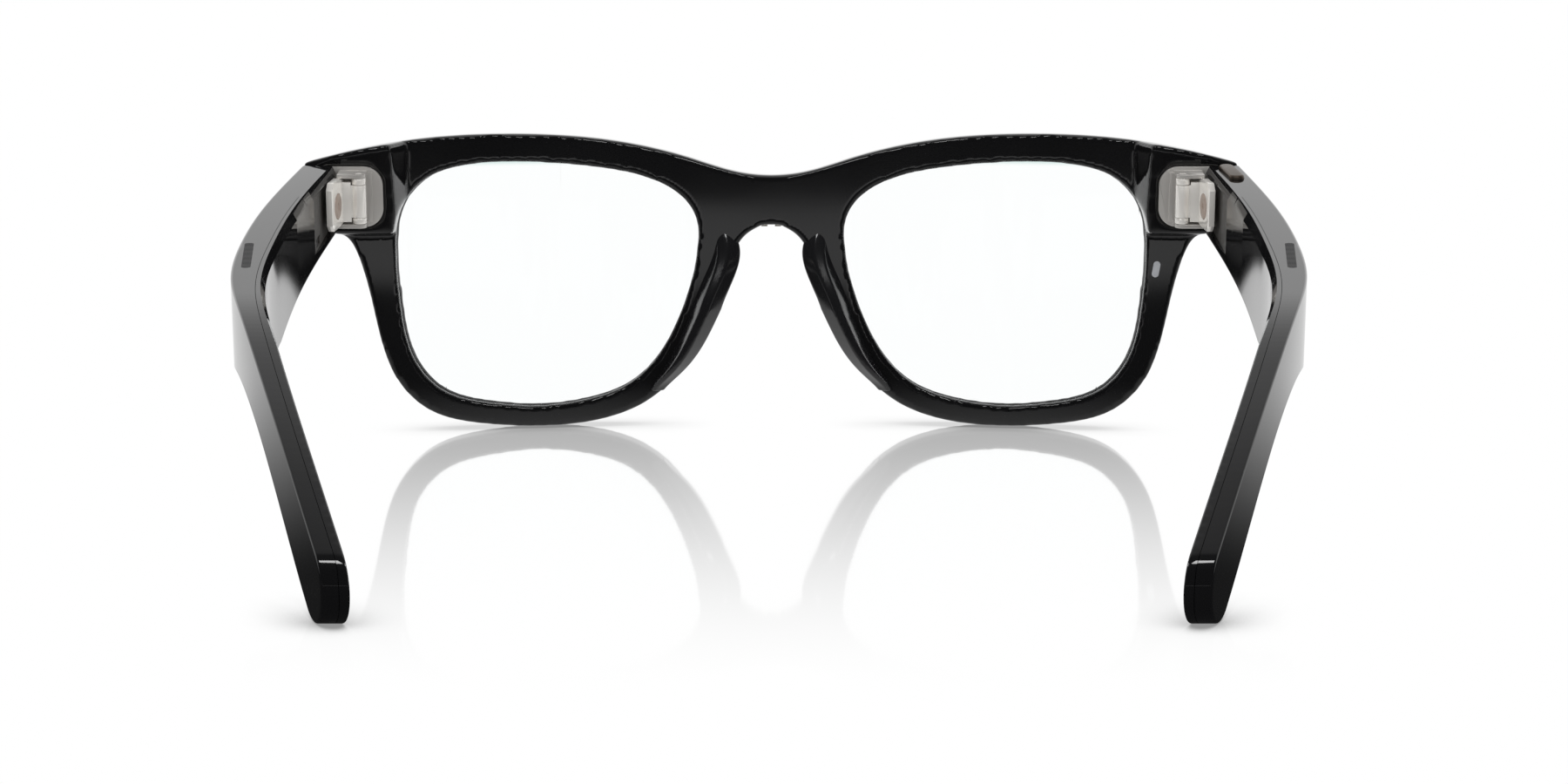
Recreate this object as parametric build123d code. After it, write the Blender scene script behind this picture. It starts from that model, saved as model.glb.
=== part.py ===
from build123d import *
import os
from math import asin, cos, degrees, radians, sin, sqrt

# Smart glasses, in millimetres.  +X is the wearer's right, +Y the way the wearer looks, +Z up.
# The front is drawn in its own upright frame: y = 0 is the middle of its rear face, z = 0 its lowest edge.
# Temples and hinges are drawn in the temple frame: y = 0 is the seam, z runs along the hinge pin.

# ---- Driving dimensions ----
BASE_R = 240.0            # radius of the front's curve, about an upright axis
RIM_T = 5.0               # thickness of the front, rear face to front face
LUG_X = 73.3              # half the width over the two end pieces
LUG_Z = 31.9              # underside of the end pieces
CORNER_R = 3.6            # rounding of each end piece, front face to side
SEAM_Y = -12.5            # seam between front and temple, at the temple frame's origin
SEAM_Z = 38.0             # height of the temple frame's origin in the front
PANTO = 9.0               # slope of the temples against the front, degrees
REST_TILT = 2.55          # lean of the front as the glasses stand on rims and tips, degrees
FRONT_Y = 72.01           # places the origin under the middle of the whole length
FLOOR_Z = -0.35           # sets the lowest edges on z = 0

LENS_C = (35.65, 23.4)    # centre of the right lens opening
LENS_HALF = (23.9, 19.5)  # half width and half height of the opening
LENS_T = 2.0              # lens thickness
LENS_SETBACK = 1.6        # rear face of the front to rear face of the lens
BEZEL = 0.75              # lens edge held in the groove
GROOVE_FIT = 0.02         # running clearance of the lens in its groove
EYE = (65.6, 38.6)        # camera and light windows in the front
EYE_R = 3.0
RING_R = 3.7
STATUS = (61.1, 26.2)     # status light on the rear of the right rim

PIN = (64.3, -2.6)        # hinge pin axis in the temple frame
PIN_R = 0.55
BARREL_R = 1.1
ARM_T = 0.6
ARM_TOP = 4.2
ARM_LOW = -4.35
BARREL_Z = (-2.7, 2.45)
PLATE_X = (60.9, 70.4)    # front hinge plate, set into the end piece
PLATE_Z = (-4.9, 4.75)
PLATE_T = 1.3
PLATE_R = 3.0
LEAF_SLOPE = 7.0          # the side plate lies along the temple's inner face
SIDE_PLATE = (66.75, -2.4)

TEMPLE_GAP = 0.15         # running gap at the seam
TEMPLE_TOP = 5.06         # top edge of the temple above the temple frame's origin
WALL = 1.1                # temple shell wall
COVER_T = 0.9             # inner cover
HEAD_LEN = 24.0           # solid hinge head in front of the hollow
HOLLOW_END = -86.0        # rear end of the hollow, before the ear bend
POCKET_X = 69.3           # floor of the open hinge pocket
FIT = 0.05                # running clearance
BUTTON = (71.3, -6.6)     # capture button, on top of the right temple
BUTTON_LEN = 9.4
BUTTON_W = 2.4
BUTTON_TURN = 5.5
BUTTON_FLOOR = 4.05
GRILLE = (72.65, -62.6)   # sound slot on top of each temple
GRILLE_LEN = 15.5
GRILLE_W = 1.3
GRILLE_TURN = -6.5
LOW_GRILLE = (71.5, -60.0)
SLIDER_Z = -3.8           # power switch, low on the pocket's lining

# ---- Outlines, right side ----
LENS_OUTLINE = [(11.8, 31.0), (13.7, 36.6), (18.5, 39.8), (27.0, 41.9), (38.0, 42.9), (48.0, 42.6),
                (54.8, 40.4), (58.6, 35.9), (59.5, 30.0), (58.9, 20.5), (56.6, 11.3), (52.6, 6.8),
                (45.0, 4.5), (38.5, 3.9), (30.0, 4.75), (22.5, 7.6), (17.0, 13.8), (13.8, 21.0)]
BROW = [(0, 40.7), (13.2, 43.6), (27, 46.6), (41, 47.5), (57, 46.7), (LUG_X, 43.3)]
RIM = [(68.4, 32.0), (65.2, 27.8), (62.5, 16.7), (59.7, 8.6), (54.6, 3.4), (46, 1.0), (38, 0.45),
       (28.5, 1.2), (20.2, 4.2), (15.2, 8.6), (11.7, 14.4), (9.0, 21.2), (7.0, 26.8), (4.6, 30.6)]
ARCH = [(4.6, 30.6), (2.53, 32.15), (0, 32.7)]    # underside of the bridge
ARCH_PULL = 0.4           # how hard the rim's outline is drawn into the arch
PLAN_OUT = [(73.3, 1.0), (74.6, -19.0), (75.2, -35.0), (74.9, -55.0), (73.2, -74.6), (70.3, -89.0),
            (66.6, -103.0), (61.0, -120.4), (56.5, -133.2), (51.6, -146.4)]
PLAN_IN = [(67.9, 1.0), (69.1, -17.0), (69.7, -35.0), (69.4, -55.4), (68.6, -71.6), (66.3, -89.0),
           (62.4, -105.4), (56.9, -122.6), (52.6, -134.4), (48.0, -146.6)]
TOP_BEVEL = [(5.06, 1.65, 0.8), (5.06, 1.6, 0.8), (5.06, 1.4, 0.75), (5.06, 1.15, 0.7), (5.06, 0.95, 0.65),
             (4.95, 0.75, 0.55), (2.8, 0.25, 0.2)]    # top, drop and inset of the bevel at each PLAN_IN point
RUN_OUT = 0.3
TIP_R = 5.1
TIP_C = (-137.75, -17.7)
TIP_SLOPE = 30.0


# ---- Helpers ----
def arc_y(x, y0):
    """y of the curved surface that crosses x = 0 at y0."""
    r = BASE_R + y0
    return y0 - r + sqrt(r * r - x * x)


def slab(y0, y1, half):
    """Curved sheet between two coaxial cylinders."""
    h0 = arc_y(half, y0)
    h1 = arc_y(half, y1)
    edges = [ThreePointArc((-half, h1), (0, y1), (half, h1)), Line((half, h1), (half, h0)),
             ThreePointArc((half, h0), (0, y0), (-half, h0)), Line((-half, h0), (-half, h1))]
    return Pos(0, 0, -10) * extrude(make_face(edges), amount=70)


def through(face):
    """Front-view face pushed through the front along y."""
    return extrude(Plane.XZ * face, amount=60, both=True)


def block(x, y, z):
    """Box from pairs of limits."""
    middle = [(pair[0] + pair[1]) / 2 for pair in (x, y, z)]
    return Pos(*middle) * Box(x[1] - x[0], y[1] - y[0], z[1] - z[0])


def upright(x, y, z, radius):
    """Cylinder along z between the two limits in z."""
    return Pos(x, y, (z[0] + z[1]) / 2) * Cylinder(radius, z[1] - z[0])


def across(x, y, z, radius):
    """Cylinder along x between the two limits in x."""
    return Pos((x[0] + x[1]) / 2, y, z) * Rot(0, 90, 0) * Cylinder(radius, x[1] - x[0])


def left(shape):
    return mirror(shape, about=Plane.YZ)


def temple_frame(shape):
    """Temple frame to front frame."""
    return Pos(0, SEAM_Y, SEAM_Z) * Rot(PANTO, 0, 0) * shape


def stand(shape):
    """Front frame to the part's own frame, standing on rims and temple tips."""
    return Pos(0, FRONT_Y, FLOOR_Z) * Rot(-REST_TILT, 0, 0) * shape


def write(name, shape):
    export_step(stand(shape), f"parts/{name}.step")


def write_pair(name, shape):
    write("right_" + name, shape)
    write("left_" + name, left(shape))


# ---- Front ----
def front_face():
    top = Spline(BROW, tangents=[(1, 0), (0.96, -0.28)])
    end = Line(top @ 1, (LUG_X, 32.4))
    under = Line(end @ 1, RIM[0])
    rim = Spline(RIM, tangents=[(-1, -0.15), (-0.655, 0.755)], tangent_scalars=[1, ARCH_PULL])
    half = [top, end, under, rim, ThreePointArc(*ARCH)]
    return make_face(half + [mirror(edge, about=Plane.YZ) for edge in half])


def lens_face(grow):
    kx = (LENS_HALF[0] + grow) / LENS_HALF[0]
    kz = (LENS_HALF[1] + grow) / LENS_HALF[1]
    points = [(LENS_C[0] + (x - LENS_C[0]) * kx, LENS_C[1] + (z - LENS_C[1]) * kz) for x, z in LENS_OUTLINE]
    return make_face(Spline(points, periodic=True))


def end_piece(profile):
    """Block at the temporal corner, from the front face back past the seam."""
    slope = degrees(asin(LUG_X / (BASE_R + RIM_T)))
    corner_x = LUG_X - CORNER_R + CORNER_R * sin(radians(slope))
    corner_y = arc_y(corner_x, RIM_T)
    side_y = corner_y - CORNER_R * cos(radians(slope))
    turn = radians((slope + 90) / 2)
    middle = (LUG_X - CORNER_R + CORNER_R * sin(turn), side_y + CORNER_R * cos(turn))
    rear = SEAM_Y - 4
    edges = [Line((56.2, -3.2), (57.0, -5.0)), Line((57.0, -5.0), (60.6, rear)), Line((60.6, rear), (LUG_X, rear)),
             Line((LUG_X, rear), (LUG_X, side_y)), ThreePointArc((LUG_X, side_y), middle, (corner_x, corner_y)),
             Line((corner_x, corner_y), (56.2, -3.2))]
    lump = Pos(0, 0, LUG_Z) * extrude(make_face(edges), amount=30) & profile
    behind_seam = temple_frame(block((50, 90), (-30, 0), (-30, 30)))
    return lump - behind_seam, corner_x


def lens():
    return through(lens_face(BEZEL)) & slab(LENS_SETBACK, LENS_SETBACK + LENS_T, 69)


def plate_face():
    """Outline of the hinge plate, with large radii towards the nose."""
    corners = [(x, z) for x, z in zip(PLATE_X + PLATE_X[::-1], (PLATE_Z[0],) * 2 + (PLATE_Z[1],) * 2)]
    face = make_face(Polyline(*corners, corners[0]))
    nose_side = face.vertices().group_by(Axis.X)[0]
    return fillet(nose_side, PLATE_R)


def eye_axis(x, z):
    """Frame whose z axis leaves the front face at (x, z), with its origin on that face."""
    slope = degrees(asin(abs(x) / (BASE_R + RIM_T)))
    turn = slope if x < 0 else -slope
    return Pos(x, arc_y(abs(x), RIM_T), z) * Rot(0, 0, turn) * Rot(-90, 0, 0)


def eye_bore():
    return Pos(0, 0, -1.0) * Cylinder(RING_R, 2.0) + Pos(0, 0, -3.0) * Cylinder(EYE_R - 0.4, 2.1)


def flex_face(drop, height):
    """Strip under the brow line, from end piece to end piece."""
    upper = [(x, z - drop) for x, z in ((0, 40.9), (13.2, 43.6), (27, 46.3), (41, 47.2), (55, 46.6), (63, 44.0))]
    lower = [(x, z - height) for x, z in upper]
    up = Spline(upper, tangents=[(1, 0), (0.95, -0.3)])
    down = Spline(lower, tangents=[(1, 0), (0.95, -0.3)])
    half = [up, Line(up @ 1, down @ 1), down]
    return make_face(half + [mirror(edge, about=Plane.YZ) for edge in half])


def contact_recess():
    return block((-2.0, 2.0), (1.0, 4.0), (32.0, 34.4))


def status_hole(depth):
    y = arc_y(STATUS[0], 0)
    slot = Plane.XZ * SlotOverall(2.6, 1.1, rotation=80)
    return Pos(STATUS[0], y + depth, STATUS[1]) * extrude(slot, amount=depth + 1)


def front_frame():
    profile = through(front_face())
    lump, corner_x = end_piece(profile)
    body = (profile & slab(0, RIM_T, corner_x)) + lump + left(lump)
    opening = through(lens_face(0))
    groove = through(lens_face(BEZEL + GROOVE_FIT)) & slab(LENS_SETBACK - GROOVE_FIT,
                                                         LENS_SETBACK + LENS_T + GROOVE_FIT, 69)
    pocket = temple_frame(extrude(Plane.XZ * plate_face(), amount=-PLATE_T))
    for cut in (opening, groove, pocket):
        body = body - cut - left(cut)
    body = body - eye_axis(EYE[0], EYE[1]) * eye_bore() - eye_axis(-EYE[0], EYE[1]) * eye_bore()
    body = body - (through(flex_face(1.3, 1.6)) & slab(1.9, 2.7, 64))
    body = body - contact_recess()
    body = body - (status_hole(1.6) & slab(-1, 1.6, 69))
    body = body - Pos(0, 0, 36.5) * Rot(90, 0, 0) * Cylinder(0.5, 3.0)
    return body


def nose_pad(frame):
    """Curved wedge glued over the nose side of the right rim."""
    rows = [(28.3, 9.6, 10.4, -0.5), (26.6, 7.4, 11.2, -1.6), (23.0, 7.5, 11.9, -3.2), (18.0, 9.6, 13.6, -4.3),
            (13.0, 12.2, 15.8, -4.5), (8.8, 15.6, 18.4, -3.6), (6.0, 18.4, 20.2, -1.4)]
    faces = []
    for z, nose, rim, crest in rows:
        width = rim - nose
        points = [(nose - 0.9, 1.8), (nose - 1.0, -0.2 + crest * 0.3), (nose + 0.25 * width, crest),
                  (nose + 0.6 * width, crest + 0.3), (rim, 0.2), (rim, 1.8)]
        outline = Polyline(*points, points[0])
        faces.append(Pos(0, 0, z) * make_face(outline))
    return loft(faces, ruled=False) - frame


# ---- Hinge ----
def hinge_plate():
    plate = extrude(Plane.XZ * plate_face(), amount=-PLATE_T)
    plate += block((62.5, 67.4), (-0.35, 0.2), (-4.0, 3.9))
    for z0 in (ARM_TOP - ARM_T, ARM_LOW):
        z = (z0, z0 + ARM_T)
        arm = block((PIN[0] - BARREL_R, 67.6), (PIN[1], 0.2), z) + upright(PIN[0], PIN[1], z, BARREL_R)
        arm += block((PIN[0], 67.6), (PIN[1] - BARREL_R, PIN[1] + 0.2), z)
        plate += arm - upright(PIN[0], PIN[1], (z0 - 1, z0 + 2), PIN_R)
    return plate


def hinge_pin():
    return upright(PIN[0], PIN[1], (ARM_LOW + 0.02, ARM_TOP - 0.02), PIN_R)


def hinge_rings():
    bore = upright(PIN[0], PIN[1], (-6, 6), PIN_R + FIT)
    high = upright(PIN[0], PIN[1], (BARREL_Z[1] + 0.08, ARM_TOP - ARM_T - 0.06), BARREL_R)
    low = upright(PIN[0], PIN[1], (ARM_LOW + ARM_T + 0.06, BARREL_Z[0] - 0.08), BARREL_R)
    return Compound([high - bore, low - bore])


def side_plate():
    outline = Polyline((0.6, -3.3), (-2.2, -3.7), (-6.4, -3.7), (-7.4, -2.7), (-7.4, 2.9), (-6.4, 3.9),
                       (-2.6, 3.9), (0.6, 2.9), (0.6, -3.3))
    plate = extrude(Plane.YZ * make_face(outline), amount=0.9)
    return Pos(*SIDE_PLATE, 0) * Rot(0, 0, LEAF_SLOPE) * plate


def screw_place():
    return Pos(*SIDE_PLATE, 0) * Rot(0, 0, LEAF_SLOPE) * Pos(0, -3.6, -0.3)


def hinge_leaf():
    z = (-3.35, 2.95)
    leaf = upright(PIN[0], PIN[1], BARREL_Z, BARREL_R)
    leaf += block((PIN[0], 65.6), (-3.2, -2.0), BARREL_Z)
    leaf += block((65.5, 67.2), (-3.4, -2.0), z)
    leaf += side_plate()
    leaf -= upright(PIN[0], PIN[1], (-6, 6), PIN_R + FIT)
    return leaf - screw_place() * across((-0.1, 2.0), 0, 0, 0.8) - screw_place() * across((-1, 0.35), 0, 0, 2.05)


def leaf_screw():
    return screw_place() * (across((-0.05, 0.35), 0, 0, 2.0) + across((0.3, 1.6), 0, 0, 0.75)
                            - across((-0.2, 0.05), 0, 0, 0.5))


# ---- Temple ----
def side_face():
    slope = radians(TIP_SLOPE)
    normal = (TIP_R * sin(slope), -TIP_R * cos(slope))
    high = (TIP_C[0] - normal[0], TIP_C[1] - normal[1])
    low = (TIP_C[0] + normal[0], TIP_C[1] + normal[1])
    end = (TIP_C[0] - TIP_R * cos(slope), TIP_C[1] - TIP_R * sin(slope))
    along = (-cos(slope), -sin(slope))
    top = Line((-TEMPLE_GAP, TEMPLE_TOP), (-84.0, TEMPLE_TOP))
    bend = Spline([(-84.0, TEMPLE_TOP), (-100.0, 4.0), (-113.0, 0.3), high], tangents=[(-1, 0), along])
    tip = ThreePointArc(high, end, low)
    under = Spline([low, (-108.0, -7.6), (-95.0, -5.4), (-80.0, -6.9), (-66.0, -9.3), (-56.0, -9.35)],
                   tangents=[(-along[0], -along[1]), (1, 0.07)])
    jaw = Line((-56.0, -9.35), (-TEMPLE_GAP, -5.5))
    front = Line((-TEMPLE_GAP, -5.5), (-TEMPLE_GAP, TEMPLE_TOP))
    return make_face([top, bend, tip, under, jaw, front])


def shifted(points, dx):
    return [(x + dx, y) for x, y in points]


def plan_face(outer, inner):
    out = Spline(outer)
    inn = Spline(inner)
    return make_face([out, Line(out @ 1, inn @ 1), inn, Line(inn @ 0, out @ 0)])


def plan_prism(outer, inner):
    return Pos(0, 0, -40) * extrude(plan_face(outer, inner), amount=60)


def side_prism(face):
    return extrude(Plane.YZ * face, amount=100)


def bevel_section(x, y, z, drop, inset):
    """Triangle across the inner top edge: its long side is the bevel, run out past both faces."""
    low = (x - RUN_OUT * inset, z - drop - RUN_OUT * drop)
    high = (x + inset + RUN_OUT * inset, z + RUN_OUT * drop)
    points = [low, high, (low[0], high[1]), low]
    return make_face(Polyline(*[(px, y, pz) for px, pz in points]))


def top_bevel():
    """Wide bevel along the inner top edge, narrowing towards the ear bend."""
    return loft([bevel_section(x, y, z, drop, inset) for (x, y), (z, drop, inset) in zip(PLAN_IN, TOP_BEVEL)])


def temple_blank():
    return (side_prism(side_face()) & plan_prism(PLAN_OUT, PLAN_IN)) - top_bevel()


def hollow_face():
    """Side view of the electronics bay."""
    return make_face(Polyline((-HEAD_LEN, TEMPLE_TOP - WALL), (HOLLOW_END, TEMPLE_TOP - WALL),
                              (HOLLOW_END, -4.2), (-80.0, -5.4), (-66.0, -8.1), (-56.0, -8.1),
                              (-HEAD_LEN, -5.9), (-HEAD_LEN, TEMPLE_TOP - WALL)))


def cover_zone():
    """Where the inner cover lies: a layer on the inner side, behind the hinge head."""
    layer = plan_prism(shifted(PLAN_IN, COVER_T), shifted(PLAN_IN, -3))
    return layer & block((40, 80), (-160, -HEAD_LEN), (-40, 20))


def pocket():
    """Open recess for the hinge on the inner side of the head."""
    body = block((60, POCKET_X + 0.6), (-19.0, 2), (-5.0, 3.7))
    return body


def spring_bay():
    return block((POCKET_X + 0.5, 72.2), (-22.6, -5.5), (-2.6, 1.6))


def slot_cut(spot, length, width, turn, z0, z1):
    face = SlotOverall(length, width, rotation=90 + turn)
    return Pos(spot[0], spot[1], z0) * extrude(face, amount=z1 - z0)


def grille():
    return slot_cut(GRILLE, GRILLE_LEN, GRILLE_W, GRILLE_TURN, TEMPLE_TOP - WALL - 0.1, TEMPLE_TOP)


def low_grille():
    """Slot through the underside, with its face set to the sloping edge."""
    return slot_cut(LOW_GRILLE, 7.0, 1.4, 0, -9.5, -8.0)


def temple_shell(with_button):
    shell = temple_blank() - cover_zone()
    hollow = side_prism(hollow_face()) & plan_prism(shifted(PLAN_OUT, -WALL), shifted(PLAN_IN, -2))
    shell = shell - hollow - pocket() - spring_bay()
    shell = shell - grille() - low_grille()
    if with_button:
        shell = shell - slot_cut(BUTTON, BUTTON_LEN + 2 * FIT, BUTTON_W + 2 * FIT, BUTTON_TURN, 3.2, 6)
        shell = shell - block((70.1, 72.5), (-9.6, -3.6), (1.6, 3.3))
    return shell


def temple_cover():
    return temple_blank() & cover_zone()


def pocket_panel():
    """Dark lining on the floor of the hinge pocket, with a crease down its middle."""
    panel = block((POCKET_X, POCKET_X + 0.6), (-19.0, -TEMPLE_GAP), (-5.0, 3.7))
    for z in (-3.4, -4.3):
        panel -= block((POCKET_X - 0.1, POCKET_X + 0.3), (-4.6, -2.4), (z, z + 0.4))
    return panel - block((POCKET_X - 0.1, POCKET_X + 0.2), (-12.0, -11.8), (-5.1, 3.8))


def spring_box():
    outer = block((69.95, 72.1), (-22.4, -5.7), (-2.5, 1.5))
    return outer - block((70.3, 71.8), (-21.6, -6.5), (-1.6, 0.6))


def flex_spring():
    coil = Helix(1.0, 9.0, 0.55)
    wire = sweep(Plane(origin=coil @ 0, z_dir=coil % 0) * Circle(0.13), path=coil)
    return Pos(71.05, -8.2, -0.5) * Rot(90, 0, 0) * wire


def carriage():
    rod = Pos(71.05, -13.2, -0.5) * Rot(90, 0, 0) * Cylinder(0.32, 13.0)
    head = Pos(71.05, -18.4, -0.5) * Rot(90, 0, 0) * Cylinder(0.65, 1.4)
    return rod + head


def speaker():
    case = block((70.4, 72.5), (-69.5, -55.5), (-4.5, 3.2))
    return fillet(case.edges().filter_by(Axis.X), 1.0)


def microphone():
    can = block((69.7, 70.9), (-76.0, -73.0), (-5.0, -2.6))
    return can + across((69.4, 69.7), -74.5, -3.8, 0.5)


# ---- Electronics of one side only ----
def main_board():
    board = block((71.6, 72.3), (-53.0, -25.5), (-5.0, 3.4))
    chips = block((70.9, 71.6), (-43.5, -39.0), (-2.5, 2.0)) + block((71.0, 71.6), (-50.0, -46.5), (-1.0, 2.4))
    return board + chips


def processor_shield():
    can = block((70.75, 71.6), (-37.0, -28.0), (-4.2, 2.6))
    return can - block((70.95, 71.7), (-36.8, -28.2), (-4.0, 2.4))


def touch_sensor():
    return block((73.45, 73.65), (-48.0, -26.0), (-5.2, 2.8))


def battery():
    cell = block((70.75, 73.4), (-43.0, -26.0), (-5.2, 3.2))
    return fillet(cell.edges().filter_by(Axis.Z), 0.8)


def battery_board():
    return block((71.5, 72.1), (-53.5, -44.5), (-4.2, 2.8)) + block((70.9, 71.5), (-51.0, -47.5), (-1.0, 1.6))


def capture_button():
    cap = slot_cut(BUTTON, BUTTON_LEN, BUTTON_W, BUTTON_TURN, BUTTON_FLOOR, TEMPLE_TOP + 0.6)
    return chamfer(cap.edges().group_by(Axis.Z)[-1], 0.25)


def button_switch():
    return block((70.2, 72.4), (-9.4, -3.8), (1.7, 2.4)) + upright(BUTTON[0], BUTTON[1], (2.3, 3.7), 0.7)


def power_slider():
    knob = block((POCKET_X + 0.05, POCKET_X + 0.8), (-16.8, -15.0), (SLIDER_Z - 0.55, SLIDER_Z + 0.55))
    for y in (-16.4, -15.9, -15.4):
        knob -= block((POCKET_X, POCKET_X + 0.2), (y - 0.1, y + 0.1), (SLIDER_Z - 0.6, SLIDER_Z + 0.6))
    return knob


def slider_window():
    return block((POCKET_X - 0.1, POCKET_X + 0.9), (-16.9, -12.9), (SLIDER_Z - 0.65, SLIDER_Z + 0.65))


# ---- Eyes in the front ----
def trim_ring():
    return Pos(0, 0, -0.6) * (Cylinder(RING_R, 1.2) - Cylinder(EYE_R, 1.3))


def eye_window():
    return Pos(0, 0, -0.62) * Cylinder(EYE_R, 1.1)


def camera_module():
    barrel = Pos(0, 0, -1.65) * Cylinder(2.2, 0.9)
    return barrel + Pos(0, 0, -2.9) * Cylinder(2.4, 1.6)


def light_board():
    board = Pos(0, 0, -2.6) * Cylinder(2.4, 0.8)
    return board + Pos(0, 0, -2.0) * Box(1.6, 1.6, 0.5)


def contacts():
    pads = [block((x - 0.5, x + 0.5), (1.4, 3.6), (32.45, 33.3)) for x in (-1.1, 1.1)]
    return Compound(pads)


def contact_carrier():
    body = block((-2.0, 2.0), (1.0, 4.0), (32.75, 34.4))
    for x in (-1.1, 1.1):
        body -= block((x - 0.5, x + 0.5), (1.4, 3.6), (32.0, 33.3))
    return body


def status_light():
    return status_hole(0.8) & slab(0.0, 0.8, 69)


def status_chip():
    return Pos(STATUS[0], arc_y(STATUS[0], 0) + 1.15, STATUS[1]) * Box(0.8, 0.5, 1.2)


def bridge_microphone():
    return Pos(0, 0.85, 36.5) * Rot(90, 0, 0) * Cylinder(0.5, 1.2)


# ---- All pieces ----
def front_pieces():
    frame = front_frame()
    write("front_frame", frame)
    write_pair("lens", lens())
    write_pair("nose_pad", nose_pad(frame))
    write("camera_trim_ring", eye_axis(-EYE[0], EYE[1]) * trim_ring())
    write("camera_window", eye_axis(-EYE[0], EYE[1]) * eye_window())
    write("camera_module", eye_axis(-EYE[0], EYE[1]) * camera_module())
    write("light_trim_ring", eye_axis(EYE[0], EYE[1]) * trim_ring())
    write("light_window", eye_axis(EYE[0], EYE[1]) * eye_window())
    write("light_board", eye_axis(EYE[0], EYE[1]) * light_board())
    write("brow_flex_cable", through(flex_face(1.5, 1.2)) & slab(2.2, 2.4, 62))
    write("charging_contacts", contacts())
    write("contact_carrier", contact_carrier())
    write("status_light", status_light())
    write("status_light_chip", status_chip())
    write("bridge_microphone", bridge_microphone())


def hinge_pieces():
    write_pair("hinge_plate", temple_frame(hinge_plate()))
    write_pair("hinge_pin", temple_frame(hinge_pin()))
    write_pair("hinge_rings", temple_frame(hinge_rings()))
    write_pair("hinge_leaf", temple_frame(hinge_leaf()))
    write_pair("leaf_screw", temple_frame(leaf_screw()))


def temple_pieces():
    window = slider_window()
    write("right_temple_shell", temple_frame(temple_shell(True)))
    write("left_temple_shell", left(temple_frame(temple_shell(False) - window)))
    write("right_pocket_panel", temple_frame(pocket_panel()))
    write("left_pocket_panel", left(temple_frame(pocket_panel() - window)))
    write_pair("temple_cover", temple_frame(temple_cover()))
    write_pair("top_grille", temple_frame(grille()))
    write_pair("lower_grille", temple_frame(low_grille() & side_prism(side_face())))
    write_pair("spring_box", temple_frame(spring_box()))
    write_pair("flex_spring", temple_frame(flex_spring()))
    write_pair("spring_carriage", temple_frame(carriage()))
    write_pair("speaker", temple_frame(speaker()))
    write_pair("microphone", temple_frame(microphone()))
    write("main_board", temple_frame(main_board()))
    write("processor_shield", temple_frame(processor_shield()))
    write("touch_sensor", temple_frame(touch_sensor()))
    write("capture_button", temple_frame(capture_button()))
    write("button_switch", temple_frame(button_switch()))
    write("battery", left(temple_frame(battery())))
    write("battery_board", left(temple_frame(battery_board())))
    write("power_slider", left(temple_frame(power_slider())))


os.makedirs("parts", exist_ok=True)
front_pieces()
hinge_pieces()
temple_pieces()
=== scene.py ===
import math

import bpy
import numpy as np
from mathutils import Matrix, Vector


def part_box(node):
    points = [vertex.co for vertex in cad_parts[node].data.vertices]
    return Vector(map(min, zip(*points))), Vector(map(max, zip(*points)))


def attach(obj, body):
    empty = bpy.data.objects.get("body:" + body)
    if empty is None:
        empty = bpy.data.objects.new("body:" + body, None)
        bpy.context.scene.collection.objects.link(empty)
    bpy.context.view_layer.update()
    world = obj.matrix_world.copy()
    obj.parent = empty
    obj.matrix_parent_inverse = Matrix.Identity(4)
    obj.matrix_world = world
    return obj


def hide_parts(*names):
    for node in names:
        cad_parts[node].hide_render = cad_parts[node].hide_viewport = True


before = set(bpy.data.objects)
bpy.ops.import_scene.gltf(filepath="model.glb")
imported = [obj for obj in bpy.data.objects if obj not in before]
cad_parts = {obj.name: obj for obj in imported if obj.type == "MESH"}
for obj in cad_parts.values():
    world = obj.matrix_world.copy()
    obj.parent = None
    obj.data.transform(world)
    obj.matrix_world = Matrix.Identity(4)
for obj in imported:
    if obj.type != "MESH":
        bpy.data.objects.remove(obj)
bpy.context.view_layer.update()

# ---- Front frame ----
# The one-piece front: two rims, brow, bridge and the two end pieces that carry the hinges.
# Milled from black acetate sheet and tumbled until every edge is soft, then polished to a deep gloss.
POLISH_VOXEL = 0.00034        # grid of the tumbled skin, m
POLISH_PASSES = 26            # how far tumbling rounds the edges
BLACK = (0.0035, 0.0035, 0.0038, 1.0)
BLACK_TONE = (0.0060, 0.0060, 0.0064, 1.0)
WELD = 2e-6                   # vertices nearer than this are merged, m
MARKS_FINER = 9.0             # how much finer the handling marks are than the slow drift


def only(piece):
    """Selects one piece and makes it active."""
    bpy.ops.object.select_all(action="DESELECT")
    piece.select_set(True)
    bpy.context.view_layer.objects.active = piece


def blank_from(node, name):
    """A piece cut to a node's own shape, welded into one skin."""
    piece = bpy.data.objects.new(name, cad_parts[node].data.copy())
    bpy.context.scene.collection.objects.link(piece)
    piece.data.materials.clear()
    only(piece)
    bpy.ops.object.mode_set(mode="EDIT")
    bpy.ops.mesh.select_all(action="SELECT")
    bpy.ops.mesh.remove_doubles(threshold=WELD)
    bpy.ops.object.mode_set(mode="OBJECT")
    return piece


def apply(piece, modifier):
    only(piece)
    bpy.ops.object.modifier_apply(modifier=modifier.name)


def tumble(piece, voxel, passes):
    """Rounds a piece all over, as barrel tumbling does."""
    skin = piece.modifiers.new("even skin", "REMESH")
    skin.mode = "VOXEL"
    skin.voxel_size = voxel
    apply(piece, skin)
    wear = piece.modifiers.new("tumbling", "SMOOTH")
    wear.factor = 0.5
    wear.iterations = passes
    apply(piece, wear)
    only(piece)
    bpy.ops.object.shade_smooth()


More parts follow.
